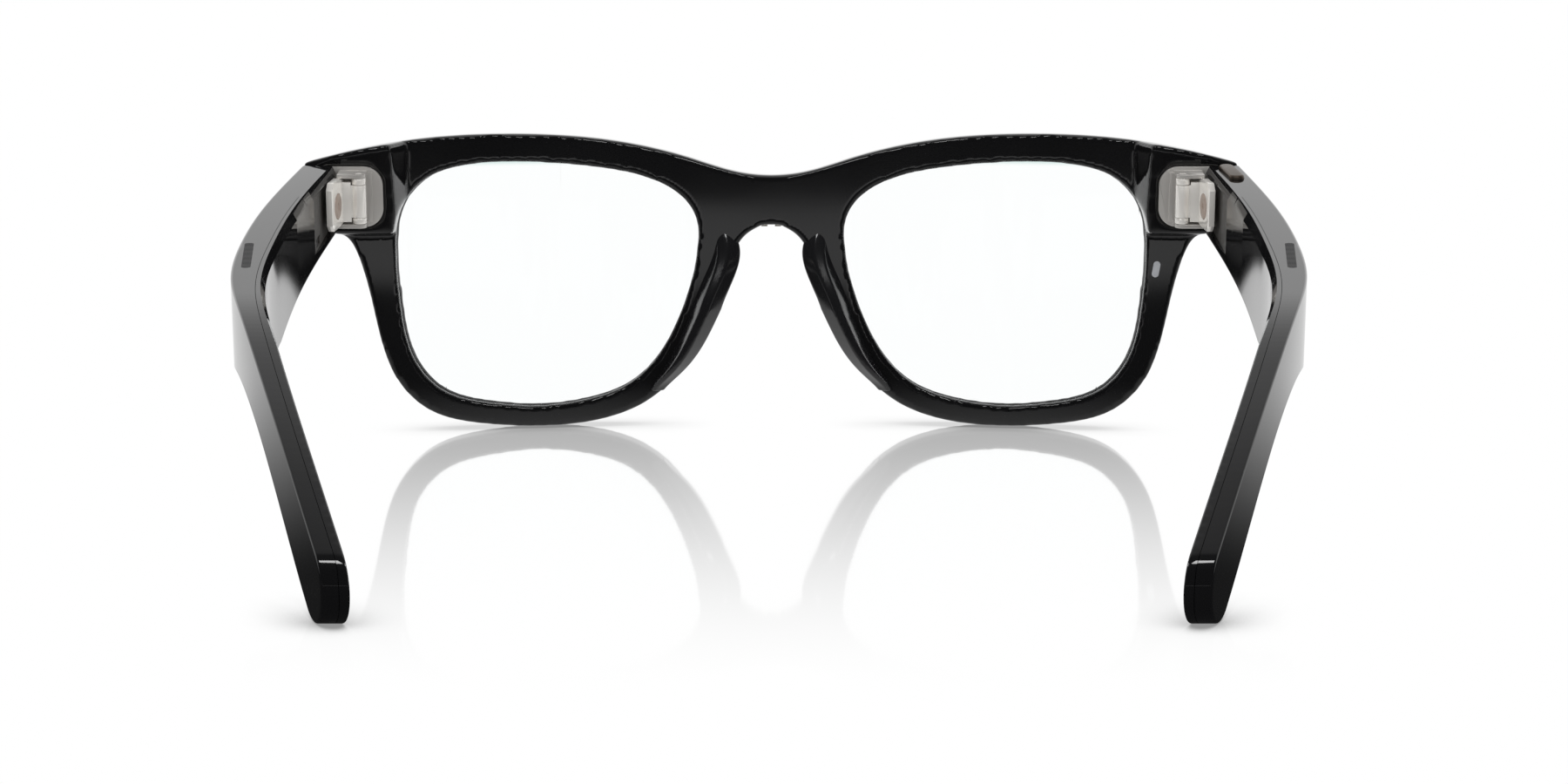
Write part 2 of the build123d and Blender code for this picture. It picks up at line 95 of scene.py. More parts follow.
def break_edges(piece, width, segments, sharp):
    """Flat facets stay flat and only the sharp edges get a small round."""
    only(piece)
    bpy.ops.object.mode_set(mode="EDIT")
    bpy.ops.mesh.select_all(action="SELECT")
    bpy.ops.mesh.dissolve_limited(angle_limit=math.radians(0.2))
    bpy.ops.object.mode_set(mode="OBJECT")
    edge = piece.modifiers.new("broken edges", "BEVEL")
    edge.width = width
    edge.segments = segments
    edge.limit_method = "ANGLE"
    edge.angle_limit = math.radians(sharp)
    apply(piece, edge)
    only(piece)
    bpy.ops.object.shade_smooth_by_angle(angle=math.radians(sharp + 4))


def seat(piece, body, slot, material, *nodes):
    """Gives a finished piece its material and puts it in place of its nodes."""
    piece.data.materials.clear()
    piece.data.materials.append(material)
    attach(piece, body)
    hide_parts(*nodes)


def combine(nodes, links, operation, a, b):
    """Joins a value with another value, or with a plain number."""
    step = nodes.new("ShaderNodeMath")
    step.operation = operation
    links.new(a, step.inputs[0])
    if isinstance(b, float):
        step.inputs[1].default_value = b
    else:
        links.new(b, step.inputs[1])
    return step.outputs[0]


def make_finish_group():
    """Slow drift of tone and gloss over a surface, with a fine height for handling marks."""
    group = bpy.data.node_groups.new("finish drift", "ShaderNodeTree")
    face = group.interface
    for label, kind in (("Base", "Color"), ("Tone", "Color"), ("Stretch", "Vector"), ("Scale", "Float"),
                        ("Roughness", "Float"), ("Spread", "Float")):
        face.new_socket(label, in_out="INPUT", socket_type="NodeSocket" + kind)
    for label, kind in (("Color", "Color"), ("Roughness", "Float"), ("Height", "Float")):
        face.new_socket(label, in_out="OUTPUT", socket_type="NodeSocket" + kind)
    nodes = group.nodes
    links = group.links
    given = nodes.new("NodeGroupInput")
    result = nodes.new("NodeGroupOutput")
    place = nodes.new("ShaderNodeTexCoord")
    stretch = nodes.new("ShaderNodeVectorMath")
    stretch.operation = "MULTIPLY"
    links.new(place.outputs["Object"], stretch.inputs[0])
    links.new(given.outputs["Stretch"], stretch.inputs[1])
    slow = nodes.new("ShaderNodeTexNoise")
    links.new(stretch.outputs["Vector"], slow.inputs["Vector"])
    links.new(given.outputs["Scale"], slow.inputs["Scale"])
    slow.inputs["Detail"].default_value = 3.0
    tone = nodes.new("ShaderNodeMix")
    tone.data_type = "RGBA"
    links.new(slow.outputs["Fac"], tone.inputs["Factor"])
    links.new(given.outputs["Base"], tone.inputs[6])
    links.new(given.outputs["Tone"], tone.inputs[7])
    links.new(tone.outputs[2], result.inputs["Color"])
    fine_scale = combine(nodes, links, "MULTIPLY", given.outputs["Scale"], MARKS_FINER)
    fine = nodes.new("ShaderNodeTexNoise")
    links.new(stretch.outputs["Vector"], fine.inputs["Vector"])
    links.new(fine_scale, fine.inputs["Scale"])
    fine.inputs["Detail"].default_value = 2.0
    links.new(fine.outputs["Fac"], result.inputs["Height"])
    gloss = nodes.new("ShaderNodeMath")
    gloss.operation = "MULTIPLY_ADD"
    links.new(slow.outputs["Fac"], gloss.inputs[0])
    links.new(given.outputs["Spread"], gloss.inputs[1])
    links.new(given.outputs["Roughness"], gloss.inputs[2])
    links.new(gloss.outputs[0], result.inputs["Roughness"])
    return group


finish_group = make_finish_group()


def add_drift(nodes, base, tone, roughness, spread, scale, stretch=(1, 1, 1)):
    """Adds the shared drift of tone and gloss to a material."""
    drift = nodes.new("ShaderNodeGroup")
    drift.node_tree = finish_group
    for label, value in (("Base", base), ("Tone", tone), ("Stretch", stretch), ("Scale", scale),
                         ("Roughness", roughness), ("Spread", spread)):
        drift.inputs[label].default_value = value
    return drift


def finish(name, base, tone, roughness, spread, scale=60.0, stretch=(1, 1, 1), metallic=0.0, relief=0.0):
    """A material whose tone and gloss drift a little, with optional fine relief."""
    material = bpy.data.materials.new(name)
    material.use_nodes = True
    nodes = material.node_tree.nodes
    links = material.node_tree.links
    shader = nodes["Principled BSDF"]
    shader.inputs["Metallic"].default_value = metallic
    drift = add_drift(nodes, base, tone, roughness, spread, scale, stretch)
    links.new(drift.outputs["Color"], shader.inputs["Base Color"])
    links.new(drift.outputs["Roughness"], shader.inputs["Roughness"])
    if relief:
        bump = nodes.new("ShaderNodeBump")
        bump.inputs["Strength"].default_value = 0.25
        bump.inputs["Distance"].default_value = relief
        links.new(drift.outputs["Height"], bump.inputs["Height"])
        links.new(bump.outputs["Normal"], shader.inputs["Normal"])
    return material


polished_acetate = finish("polished black acetate", BLACK, BLACK_TONE, 0.035, 0.03)

FRONT_CURVE = 0.240           # radius of the front's rear face about its upright axis
FRONT_THICK = 0.005
FRONT_PLACE = (0.07201, -0.00035)  # where the foot of the front's rear face stands, along y and z
MIC_BORE = (0.0009, 0.0028)   # radius and depth of the microphone's bore in the bridge
MIC_SPOT = (0, 0.0014, 0.0365)     # its place in the front's own frame
TRUE_WITHIN = 0.00006         # vertices this near a true face are drawn fully onto it
FREE_BEYOND = 0.00030         # vertices this far off are left on the rounded edge
FRONT_LEAN = math.radians(2.55)
stance = Matrix.Translation((0, FRONT_PLACE[0], FRONT_PLACE[1])) @ Matrix.Rotation(-FRONT_LEAN, 4, "X")


def true_faces(piece, radii, flat, free):
    """Draws vertices close to a coaxial curve exactly onto it, and leaves the rounded edges alone."""
    upright = stance.inverted()
    for v in piece.data.vertices:
        p = upright @ v.co
        reach = math.hypot(p.x, p.y + FRONT_CURVE)
        target = min(radii, key=lambda r: abs(r - reach))
        off = reach - target
        ease = min(max((abs(off) - flat) / (free - flat), 0.0), 1.0)
        scale = (target + off * ease) / reach
        v.co = stance @ Vector((p.x * scale, (p.y + FRONT_CURVE) * scale - FRONT_CURVE, p.z))


def fill_with(piece, node):
    """Fills a pocket with the shape of the part that sits in it, before tumbling."""
    blank_from(node, "plug")
    piece.select_set(True)
    bpy.context.view_layer.objects.active = piece
    bpy.ops.object.join()


front = blank_from("front_frame", "front_frame_tumbled")
fill_with(front, "status_light")
only(front)
bpy.ops.object.mode_set(mode="EDIT")
bpy.ops.mesh.select_all(action="DESELECT")
bpy.ops.mesh.primitive_cylinder_add(vertices=16, radius=MIC_BORE[0], depth=MIC_BORE[1],
                                    location=stance @ Vector(MIC_SPOT),
                                    rotation=(math.radians(90) - FRONT_LEAN, 0, 0))
bpy.ops.object.mode_set(mode="OBJECT")
tumble(front, POLISH_VOXEL, POLISH_PASSES)
true_faces(front, (FRONT_CURVE, FRONT_CURVE + FRONT_THICK), TRUE_WITHIN, FREE_BEYOND)
seat(front, "front", "black_frame", polished_acetate, "front_frame")

# ---- Nose pads ----
# A curved wedge on the nose side of each rim, moulded in the same black and cemented on with a seam.
# Its outer facet is left a little duller than the front.
PAD_VOXEL = 0.00018
PAD_PASSES = 12
PAD_REACH = (0.0190, 1.45)    # height its upper end is drawn out from, and by how much
PAD_RUN_OUT = 0.0095          # length over which it thins into the bridge arch
PAD_LEAN = (0.0012, 0.0010)   # how far that end leans to the middle and to the front
pad_black = finish("satin black nose pad", (0.006, 0.006, 0.0065, 1), (0.010, 0.010, 0.011, 1), 0.08, 0.10,
                   scale=180.0)
for side in ("right", "left"):
    pad = blank_from(side + "_nose_pad", side + "_nose_pad_moulded")
    tumble(pad, PAD_VOXEL, PAD_PASSES)
    for v in pad.data.vertices:
        over = (v.co.z - PAD_REACH[0]) * PAD_REACH[1]
        if over <= 0.0:
            continue
        t = min(over / PAD_RUN_OUT, 1.0)
        t = t * t * (3 - 2 * t)
        v.co.x -= math.copysign(PAD_LEAN[0], v.co.x) * t
        v.co.y += PAD_LEAN[1] * t
        v.co.z = PAD_REACH[0] + over
    seat(pad, "front", "black_frame", pad_black, side + "_nose_pad")

# ---- Lenses ----
# Two millimetre clear lenses with an anti-reflective coat that leaves a faint cool tint.
# Each is snapped into the groove of its rim; towards its top each lens is tinted darker green.
LENS_TINT = (0.985, 0.999, 0.998, 1.0)
LENS_TONE = (0.99, 1.0, 1.0, 1.0)
# Darker green laid over the top band of each lens, fading out downwards.
LENS_TOP_TINT = (0.55, 0.74, 0.70, 1.0)
LENS_STRIP = 0.0016           # width of the strips its faces are drawn true in
LENS_EDGE_FADE = (0.0016, 0.0004)  # depth below the top where the edge colour starts and is full
LENS_REACH = (0.0009, 0.0011)      # how far off its curve a vertex is still drawn onto it
LENS_REAR = 0.2416            # radii of the two faces about the front's upright axis
LENS_FRONT = 0.2436


def ramp(nodes, links, value, low, high, to_low, to_high):
    """Smooth step of a value between two limits."""
    step = nodes.new("ShaderNodeMapRange")
    step.interpolation_type = "SMOOTHSTEP"
    step.inputs["From Min"].default_value = low
    step.inputs["From Max"].default_value = high
    step.inputs["To Min"].default_value = to_low
    step.inputs["To Max"].default_value = to_high
    links.new(value, step.inputs["Value"])
    return step.outputs["Result"]


def make_clear_lens():
    material = bpy.data.materials.new("coated clear lens")
    material.use_nodes = True
    nodes = material.node_tree.nodes
    links = material.node_tree.links
    shader = nodes["Principled BSDF"]
    shader.inputs["Transmission Weight"].default_value = 1.0
    shader.inputs["IOR"].default_value = 1.18
    drift = add_drift(nodes, LENS_TINT, LENS_TONE, 0.0, 0.004, 22.0)
    place = nodes.new("ShaderNodeTexCoord")
    split = nodes.new("ShaderNodeSeparateXYZ")
    links.new(place.outputs["Object"], split.inputs[0])
    lens_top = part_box("right_lens")[1].z
    fade_from, fade_to = (lens_top - depth for depth in LENS_EDGE_FADE)
    # Mask of the top band that takes the darker green tint.
    top_band = ramp(nodes, links, split.outputs["Z"], fade_from, fade_to, 0, 1)
    tint = nodes.new("ShaderNodeMix")
    tint.data_type = "RGBA"
    links.new(top_band, tint.inputs["Factor"])
    links.new(drift.outputs["Color"], tint.inputs[6])
    tint.inputs[7].default_value = LENS_TOP_TINT
    links.new(tint.outputs[2], shader.inputs["Base Color"])
    links.new(drift.outputs["Roughness"], shader.inputs["Roughness"])
    return material


def grind(lens):
    """Cuts a lens blank into upright strips, then draws both faces onto their curves."""
    only(lens)
    low = min(v.co.x for v in lens.data.vertices)
    high = max(v.co.x for v in lens.data.vertices)
    cuts = int((high - low) / LENS_STRIP)
    bpy.ops.object.mode_set(mode="EDIT")
    for i in range(1, cuts):
        bpy.ops.mesh.select_all(action="SELECT")
        bpy.ops.mesh.bisect(plane_co=(low + (high - low) * i / cuts, 0, 0), plane_no=(1, 0, 0))
    bpy.ops.object.mode_set(mode="OBJECT")
    true_faces(lens, (LENS_REAR, LENS_FRONT), *LENS_REACH)
    bpy.ops.object.shade_smooth_by_angle(angle=math.radians(40))
    even = lens.modifiers.new("even facets", "WEIGHTED_NORMAL")
    even.keep_sharp = True
    apply(lens, even)


clear_lens = make_clear_lens()
for side in ("right", "left"):
    lens = blank_from(side + "_lens", side + "_lens_coated")
    grind(lens)
    seat(lens, "front", "clear_lens", clear_lens, side + "_lens")

# ---- Camera and light eyes ----
# A dark trim ring with a round window at each end piece: camera on the left, signal light on the right.
# The rings are pressed in; the windows are smoked glass over the module and the light board.
RING_EDGE = 0.00022
WINDOW_EDGE = 0.00010
trim_black = finish("satin black trim", (0.008, 0.008, 0.009, 1), (0.014, 0.014, 0.015, 1), 0.22, 0.12,
                    scale=400.0)
smoked_glass = finish("smoked window", (0.010, 0.011, 0.013, 1), (0.016, 0.017, 0.022, 1), 0.02, 0.02,
                      scale=200.0)
for eye in ("camera", "light"):
    ring = blank_from(eye + "_trim_ring", eye + "_trim_ring_turned")
    break_edges(ring, RING_EDGE, 3, 40)
    seat(ring, "front", "dark_trim", trim_black, eye + "_trim_ring")
    window = blank_from(eye + "_window", eye + "_window_polished")
    break_edges(window, WINDOW_EDGE, 2, 40)
    seat(window, "front", "dark_glass", smoked_glass, eye + "_window")

# ---- Small parts of the front ----
# Status light and its chip, the charging contacts in their carrier, and the microphone in the bridge.
# Each is let into a pocket of the front; most of them lie out of sight.
frosted_diffuser = finish("frosted light pipe", (0.30, 0.31, 0.33, 1), (0.40, 0.41, 0.43, 1), 0.45, 0.15,
                          scale=900.0)
gold_contact = finish("pale gold contact", (0.72, 0.66, 0.52, 1), (0.84, 0.79, 0.68, 1), 0.20, 0.12,
                      scale=700.0, metallic=1.0)
sensor_can = finish("drawn steel can", (0.42, 0.42, 0.43, 1), (0.55, 0.55, 0.56, 1), 0.28, 0.16,
                    scale=500.0, metallic=1.0)
solder_mask = finish("board lacquer", (0.004, 0.022, 0.014, 1), (0.008, 0.045, 0.026, 1), 0.30, 0.20,
                     scale=900.0, relief=0.00004)
polyimide = finish("polyimide flex film", (0.18, 0.075, 0.018, 1), (0.26, 0.12, 0.03, 1), 0.22, 0.14,
                   scale=350.0)
matte_panel = finish("warm grey lining", (0.040, 0.037, 0.034, 1), (0.058, 0.053, 0.048, 1), 0.42, 0.16,
                     scale=700.0, relief=0.00003)


def dress(node, material):
    """Gives a node its finish through its own material slots."""
    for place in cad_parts[node].material_slots:
        place.material = material


STATUS_PROUD = 0.00009        # how far the light stands out of the rim
status = blank_from("status_light", "status_light_frosted")
break_edges(status, 0.00010, 3, 40)
only(status)
bpy.ops.object.mode_set(mode="EDIT")
bpy.ops.mesh.select_all(action="SELECT")
bpy.ops.transform.translate(value=(0, -STATUS_PROUD, 0))
bpy.ops.object.mode_set(mode="OBJECT")
seat(status, "front", "light_diffuser", frosted_diffuser, "status_light")
dress("status_light_chip", solder_mask)
dress("charging_contacts", gold_contact)
dress("contact_carrier", trim_black)
dress("bridge_microphone", sensor_can)
dress("camera_module", sensor_can)
dress("light_board", solder_mask)
dress("brow_flex_cable", polyimide)

# ---- Hinges ----
# Five-knuckle hinges in nickel silver: a plate let into the front, arms, loose rings on a pin, and a leaf.
# The flats are satin and the edges are polished; leaf, rings and pin get a lighter base colour as a painted
# highlight, and one bronze-toned screw holds the leaf.
satin_nickel = finish("satin nickel silver", (0.52, 0.50, 0.475, 1), (0.64, 0.62, 0.59, 1), 0.24, 0.12,
                      scale=500.0, stretch=(1, 1, 0.15), metallic=0.55)
# Painted highlight: a far lighter base colour than the plate's nickel silver; only the lower roughness is a
# real difference of polish.
polished_nickel_painted_highlight = finish("polished nickel silver with painted highlight", (0.88, 0.85, 0.80, 1), (0.95, 0.93, 0.89, 1), 0.14, 0.08,
                       scale=500.0, metallic=0.42)
screw_bronze = finish("bronze-toned screw", (0.42, 0.33, 0.28, 1), (0.54, 0.44, 0.38, 1), 0.26, 0.12,
                      scale=700.0, metallic=0.6)
HINGE_PIECES = (  # piece, its body after the side (none: the front), way made, slot, finish, edge, rounds
    ("hinge_plate", None, "milled", "hinge_nickel", satin_nickel, 0.00016, 3),
    ("hinge_leaf", "leaf", "milled", "hinge_nickel", polished_nickel_painted_highlight, 0.00014, 3),
    ("hinge_rings", "leaf", "turned", "hinge_nickel", polished_nickel_painted_highlight, 0.00008, 2),
    ("leaf_screw", "leaf", "turned", "screw_bronze", screw_bronze, 0.00006, 2))
for side in ("right", "left"):
    for part, body, made, slot, material, edge, rounds in HINGE_PIECES:
        piece = blank_from(side + "_" + part, side + "_" + part + "_" + made)
        break_edges(piece, edge, rounds, 40)
        seat(piece, side + "_" + body if body else "front", slot, material, side + "_" + part)
    dress(side + "_hinge_pin", polished_nickel_painted_highlight)

# ---- Temples ----
# Hollow temples: a black shell with the electronics inside, and a thin inner cover cemented along its length.
# Moulded and polished like the front, with a wide bevel on the inner top edge and softly rounded tips.
# Sizes are in millimetres in the temple's own frame, with y along it and nought at the seam with the front.
TEMPLE_PLACE = stance @ Matrix.Translation((0, -0.0125, 0.038)) @ Matrix.Rotation(math.radians(9.0), 4, "X")
PLAN_OUT = [(73.3, 1.0), (74.6, -19.0), (75.2, -35.0), (74.9, -55.0), (73.2, -74.6), (70.3, -89.0),
            (66.6, -103.0), (61.0, -120.4), (56.5, -133.2), (51.6, -146.4)]
PLAN_IN = [(67.9, 1.0), (69.1, -17.0), (69.7, -35.0), (69.4, -55.4), (68.6, -71.6), (66.3, -89.0),
           (62.4, -105.4), (56.9, -122.6), (52.6, -134.4), (48.0, -146.6)]
TOP = 5.06
TOP_BEND = [(-140.30, -13.28), (-113.0, 0.3), (-100.0, 4.0), (-84.0, TOP)]
UNDER = [(-135.20, -22.12), (-108.0, -7.6), (-95.0, -5.4), (-80.0, -6.9), (-66.0, -9.3), (-56.0, -9.35)]
TIP = (-137.75, -17.7, 5.1)           # centre and radius of the rounded end
TIP_FALL = math.tan(math.radians(30))
SEAM = -0.15                          # front end of the shell
UNDER_RISE = 3.85 / 55.85             # slope of the straight part of the underside
BEVEL_DROP = [(-105.4, 0.25), (-89.0, 0.75), (-71.6, 0.95), (-55.4, 1.15), (-35.0, 1.4), (-17.0, 1.6),
              (1.0, 1.65)]
BEVEL_INSET = [(-105.4, 0.2), (-89.0, 0.55), (-71.6, 0.65), (-55.4, 0.7), (-35.0, 0.75), (-17.0, 0.8),
               (1.0, 0.8)]
TIP_BEVEL = 0.25                      # what is left of the inner bevel behind the ear bend
COVER_EDGE = 1.25                     # seam of the inner cover, measured from the inner face
COVER_START = -24.0
SEAM_GAP = 0.07
EDGE_ROUND = 0.42
BAR = 5.0                             # thickness of the flat bar, mm
LENGTH_STEP = 0.75                    # short lengths that let a bar follow its plan, mm
BAY_ROOF = TOP - 1.1
BAY = [(-24, BAY_ROOF), (-86, BAY_ROOF), (-86, -4.2), (-80, -5.4), (-66, -8.1), (-56, -8.1), (-24, -5.9)]
BAY_WALLS = (0.9, 1.1)                # inner and outer wall of the electronics bay
POCKET = ((60, 69.9), (-19.0, 2.0), (-5.0, 3.7))
TOP_SLOT = ((72.65, -62.6), 15.5, 1.3, -6.5, (TOP - 1.2, TOP + 2))
LOWER_SLOT = ((71.5, -60.0), 7.0, 1.4, 0, (-12.0, -8.0))
BUTTON_SLOT = ((71.3, -6.6), 9.5, 2.5, 5.5, (3.2, TOP + 2))


def curve(points, slope_low=None, slope_high=None):
    """Smooth curve through points with rising first values; its ends keep the given slopes."""
    xs = [p[0] for p in points]
    ys = [p[1] for p in points]
    n = len(xs)
    rows = np.zeros((n, n))
    right = np.zeros(n)
    for i in range(1, n - 1):
        a, b = xs[i] - xs[i - 1], xs[i + 1] - xs[i]
        rows[i, i - 1:i + 2] = (1 / a, 2 / a + 2 / b, 1 / b)
        right[i] = 3 * ((ys[i] - ys[i - 1]) / a ** 2 + (ys[i + 1] - ys[i]) / b ** 2)
    for i, j, slope in ((0, 1, slope_low), (n - 1, n - 2, slope_high)):
        gap = xs[j] - xs[i]
        rows[i, i], rows[i, j] = (1, 0) if slope is not None else (2 / gap, 1 / gap)
        right[i] = slope if slope is not None else 3 * (ys[j] - ys[i]) / gap ** 2
    slopes = np.linalg.solve(rows, right)

    def value(x):
        i = min(max(int(np.searchsorted(xs, x)) - 1, 0), n - 2)
        h = xs[i + 1] - xs[i]
        t = min(max((x - xs[i]) / h, -0.1), 1.1)
        return ((2 * t ** 3 - 3 * t ** 2 + 1) * ys[i] + (t ** 3 - 2 * t ** 2 + t) * h * slopes[i]
                + (3 * t ** 2 - 2 * t ** 3) * ys[i + 1] + (t ** 3 - t ** 2) * h * slopes[i + 1])
    return value


outer_side = curve([(y, x) for x, y in reversed(PLAN_OUT)])
inner_side = curve([(y, x) for x, y in reversed(PLAN_IN)])
bend_top = curve(TOP_BEND, TIP_FALL, 0.0)
under_side = curve(UNDER, TIP_FALL, -0.07)
bevel_drop = curve(BEVEL_DROP)
bevel_inset = curve(BEVEL_INSET)


def tip_half(y):
    return math.sqrt(max(TIP[2] ** 2 - (y - TIP[0]) ** 2, 0.0))


def top_edge(y):
    if y > TOP_BEND[-1][0]:
        return TOP
    return bend_top(y) if y > TOP_BEND[0][0] else TIP[1] + tip_half(y)


def low_edge(y):
    if y > UNDER[-1][0]:
        return UNDER[-1][1] + (y - UNDER[-1][0]) * UNDER_RISE
    return under_side(y) if y > UNDER[0][0] else TIP[1] - tip_half(y)


def side_outline():
    """Side view of the temple: along the top, round the tip and back underneath."""
    bend = TOP_BEND[0][0]
    points = [(SEAM, TOP)] + [(float(y), top_edge(y)) for y in np.linspace(TOP_BEND[-1][0], bend, 44)]
    turn = np.linspace(math.radians(120), math.radians(300), 30)[1:-1]
    points += [(TIP[0] + TIP[2] * math.cos(a), TIP[1] + TIP[2] * math.sin(a)) for a in turn]
    points += [(float(y), low_edge(y)) for y in np.linspace(UNDER[0][0], UNDER[-1][0], 60)]
    return points + [(SEAM, low_edge(SEAM))]


def to_plan(piece, low, high):
    """Draws a flat bar BAR thick onto the temple's plan, between two curves, and sets it in its place."""
    for v in piece.data.vertices:
        x0, x1 = low(v.co.y), high(v.co.y)
        v.co = TEMPLE_PLACE @ (Vector((x0 + (x1 - x0) * v.co.x / BAR, v.co.y, v.co.z)) * 0.001)


def flat_bar(name, outline, edge_round):
    """Extrudes a side view into a flat bar with soft edges, cut into short lengths."""
    mesh = bpy.data.meshes.new(name)
    mesh.from_pydata([(0, y, z) for y, z in outline], [], [range(len(outline))])
    bar = bpy.data.objects.new(name, mesh)
    bpy.context.scene.collection.objects.link(bar)
    only(bar)
    bpy.ops.object.mode_set(mode="EDIT")
    bpy.ops.mesh.select_all(action="SELECT")
    bpy.ops.mesh.extrude_region_move(TRANSFORM_OT_translate={"value": (BAR, 0, 0)})
    bpy.ops.mesh.select_all(action="SELECT")
    bpy.ops.mesh.normals_make_consistent(inside=False)
    bpy.ops.object.mode_set(mode="OBJECT")
    if edge_round:
        soft = bar.modifiers.new("soft edges", "BEVEL")
        soft.width = edge_round
        soft.segments = 4
        soft.limit_method = "ANGLE"
        soft.angle_limit = math.radians(50)
        apply(bar, soft)
    only(bar)
    bpy.ops.object.mode_set(mode="EDIT")
    for y in np.arange(-142.0, -0.5, LENGTH_STEP):
        bpy.ops.mesh.select_all(action="SELECT")
        bpy.ops.mesh.bisect(plane_co=(0, y, 0), plane_no=(0, 1, 0))
    bpy.ops.object.mode_set(mode="OBJECT")
    return bar


def bevel_knife():
    """Three-sided block along the inner top edge that cuts the wide bevel."""
    rows = np.arange(-141.0, 3.0, LENGTH_STEP)
    points = []
    for y in rows:
        held = max(y, BEVEL_DROP[0][0])
        drop, inset = max(bevel_drop(held), TIP_BEVEL), max(bevel_inset(held), TIP_BEVEL)
        x, z = inner_side(y), top_edge(min(y, SEAM))
        points += [(x - inset, y, z - 2 * drop), (x + 2 * inset, y, z + drop), (x - inset, y, z + drop)]
    faces = [(0, 1, 2), tuple(len(points) - k for k in (1, 2, 3))]
    for r in range(len(rows) - 1):
        for k in range(3):
            a, b = 3 * r + k, 3 * r + (k + 1) % 3
            faces.append((a, a + 3, b + 3, b))
    mesh = bpy.data.meshes.new("bevel knife")
    mesh.from_pydata([TEMPLE_PLACE @ (Vector(p) * 0.001) for p in points], [], faces)
    knife = bpy.data.objects.new("bevel knife", mesh)
    bpy.context.scene.collection.objects.link(knife)
    only(knife)
    bpy.ops.object.mode_set(mode="EDIT")
    bpy.ops.mesh.select_all(action="SELECT")
    bpy.ops.mesh.normals_make_consistent(inside=False)
    bpy.ops.object.mode_set(mode="OBJECT")
    return knife


def layer_block(reach):
    """The cover's layer: everything nearer the head than the seam, behind the hinge head."""
    block = flat_bar("layer", [(COVER_START, 12), (-150, 12), (-150, -40), (COVER_START, -40)], 0)
    to_plan(block, lambda y: inner_side(y) - 3, lambda y: inner_side(y) + reach)
    return block


def hollow_block():
    """The electronics bay."""
    block = flat_bar("bay", BAY, 0)
    to_plan(block, lambda y: inner_side(y) + BAY_WALLS[0], lambda y: outer_side(y) - BAY_WALLS[1])
    return block


def box_form(x, y, z):
    """A straight cutting block in the temple's own frame."""
    bpy.ops.object.select_all(action="DESELECT")
    bpy.ops.mesh.primitive_cube_add(size=1)
    block = bpy.context.active_object
    for v in block.data.vertices:
        limits = [pair[0] if c < 0 else pair[1] for pair, c in zip((x, y, z), v.co)]
        v.co = TEMPLE_PLACE @ (Vector(limits) * 0.001)
    return block


def pill_form(spot, length, width, turn, z):
    """An upright cutting block with round ends, for a button or a sound slot."""
    bpy.ops.object.select_all(action="DESELECT")
    bpy.ops.mesh.primitive_cylinder_add(vertices=48, radius=1, depth=2)
    block = bpy.context.active_object
    tilt = Matrix.Translation((spot[0], spot[1], 0)) @ Matrix.Rotation(math.radians(turn), 4, "Z")
    for v in block.data.vertices:
        end = math.copysign((length - width) / 2, v.co.y)
        p = tilt @ Vector((v.co.x * width / 2, v.co.y * width / 2 + end, z[0] if v.co.z < 0 else z[1]))
        v.co = TEMPLE_PLACE @ (p * 0.001)
    return block


def cut_with(piece, block, way):
    """Keeps the part of a piece inside or outside a cutting block, then clears the block away."""
    saw = piece.modifiers.new("cut", "BOOLEAN")
    saw.operation = way
    saw.solver = "EXACT"
    saw.object = block
    apply(piece, saw)
    bpy.data.objects.remove(block)


def to_side(piece, side):
    """Mirrors a right-hand piece for the left, then sets its shading."""
    if side == "left":
        for v in piece.data.vertices:
            v.co.x = -v.co.x
        only(piece)
        bpy.ops.object.mode_set(mode="EDIT")
        bpy.ops.mesh.select_all(action="SELECT")
        bpy.ops.mesh.flip_normals()
        bpy.ops.object.mode_set(mode="OBJECT")
    only(piece)
    bpy.ops.object.shade_smooth_by_angle(angle=math.radians(28))
    even = piece.modifiers.new("even facets", "WEIGHTED_NORMAL")
    even.keep_sharp = True
    apply(piece, even)


for side in ("right", "left"):
    shell = flat_bar(side + "_temple_shell_polished", side_outline(), EDGE_ROUND)
    to_plan(shell, inner_side, outer_side)
    cut_with(shell, bevel_knife(), "DIFFERENCE")
    cut_with(shell, hollow_block(), "DIFFERENCE")
    cover = bpy.data.objects.new(side + "_temple_cover_polished", shell.data.copy())
    bpy.context.scene.collection.objects.link(cover)
    cut_with(cover, layer_block(COVER_EDGE), "INTERSECT")
    cut_with(shell, layer_block(COVER_EDGE + SEAM_GAP), "DIFFERENCE")
    cut_with(shell, box_form(*POCKET), "DIFFERENCE")
    cut_with(shell, pill_form(*TOP_SLOT), "DIFFERENCE")
    cut_with(shell, pill_form(*LOWER_SLOT), "DIFFERENCE")
    if side == "right":
        cut_with(shell, pill_form(*BUTTON_SLOT), "DIFFERENCE")
    to_side(shell, side)
    to_side(cover, side)
    seat(shell, side + "_temple", "black_frame", polished_acetate, side + "_temple_shell")
    seat(cover, side + "_temple", "black_frame", polished_acetate, side + "_temple_cover")
    dress(side + "_pocket_panel", matte_panel)

# ---- Sound slots ----
# A long slot on top of each temple over the speaker and a short one below, closed by punched metal mesh.
# The mesh is dark grey and lies flush with the plastic; its holes are painted near-black as painted shade of
# the hollow behind.
MESH_GREY = (0.050, 0.050, 0.051, 1.0)
# Painted shade: near-black colour of the holes, standing in for the dark hollow seen through them.
HOLE_PAINTED_SHADE = (0.006, 0.006, 0.006, 1.0)


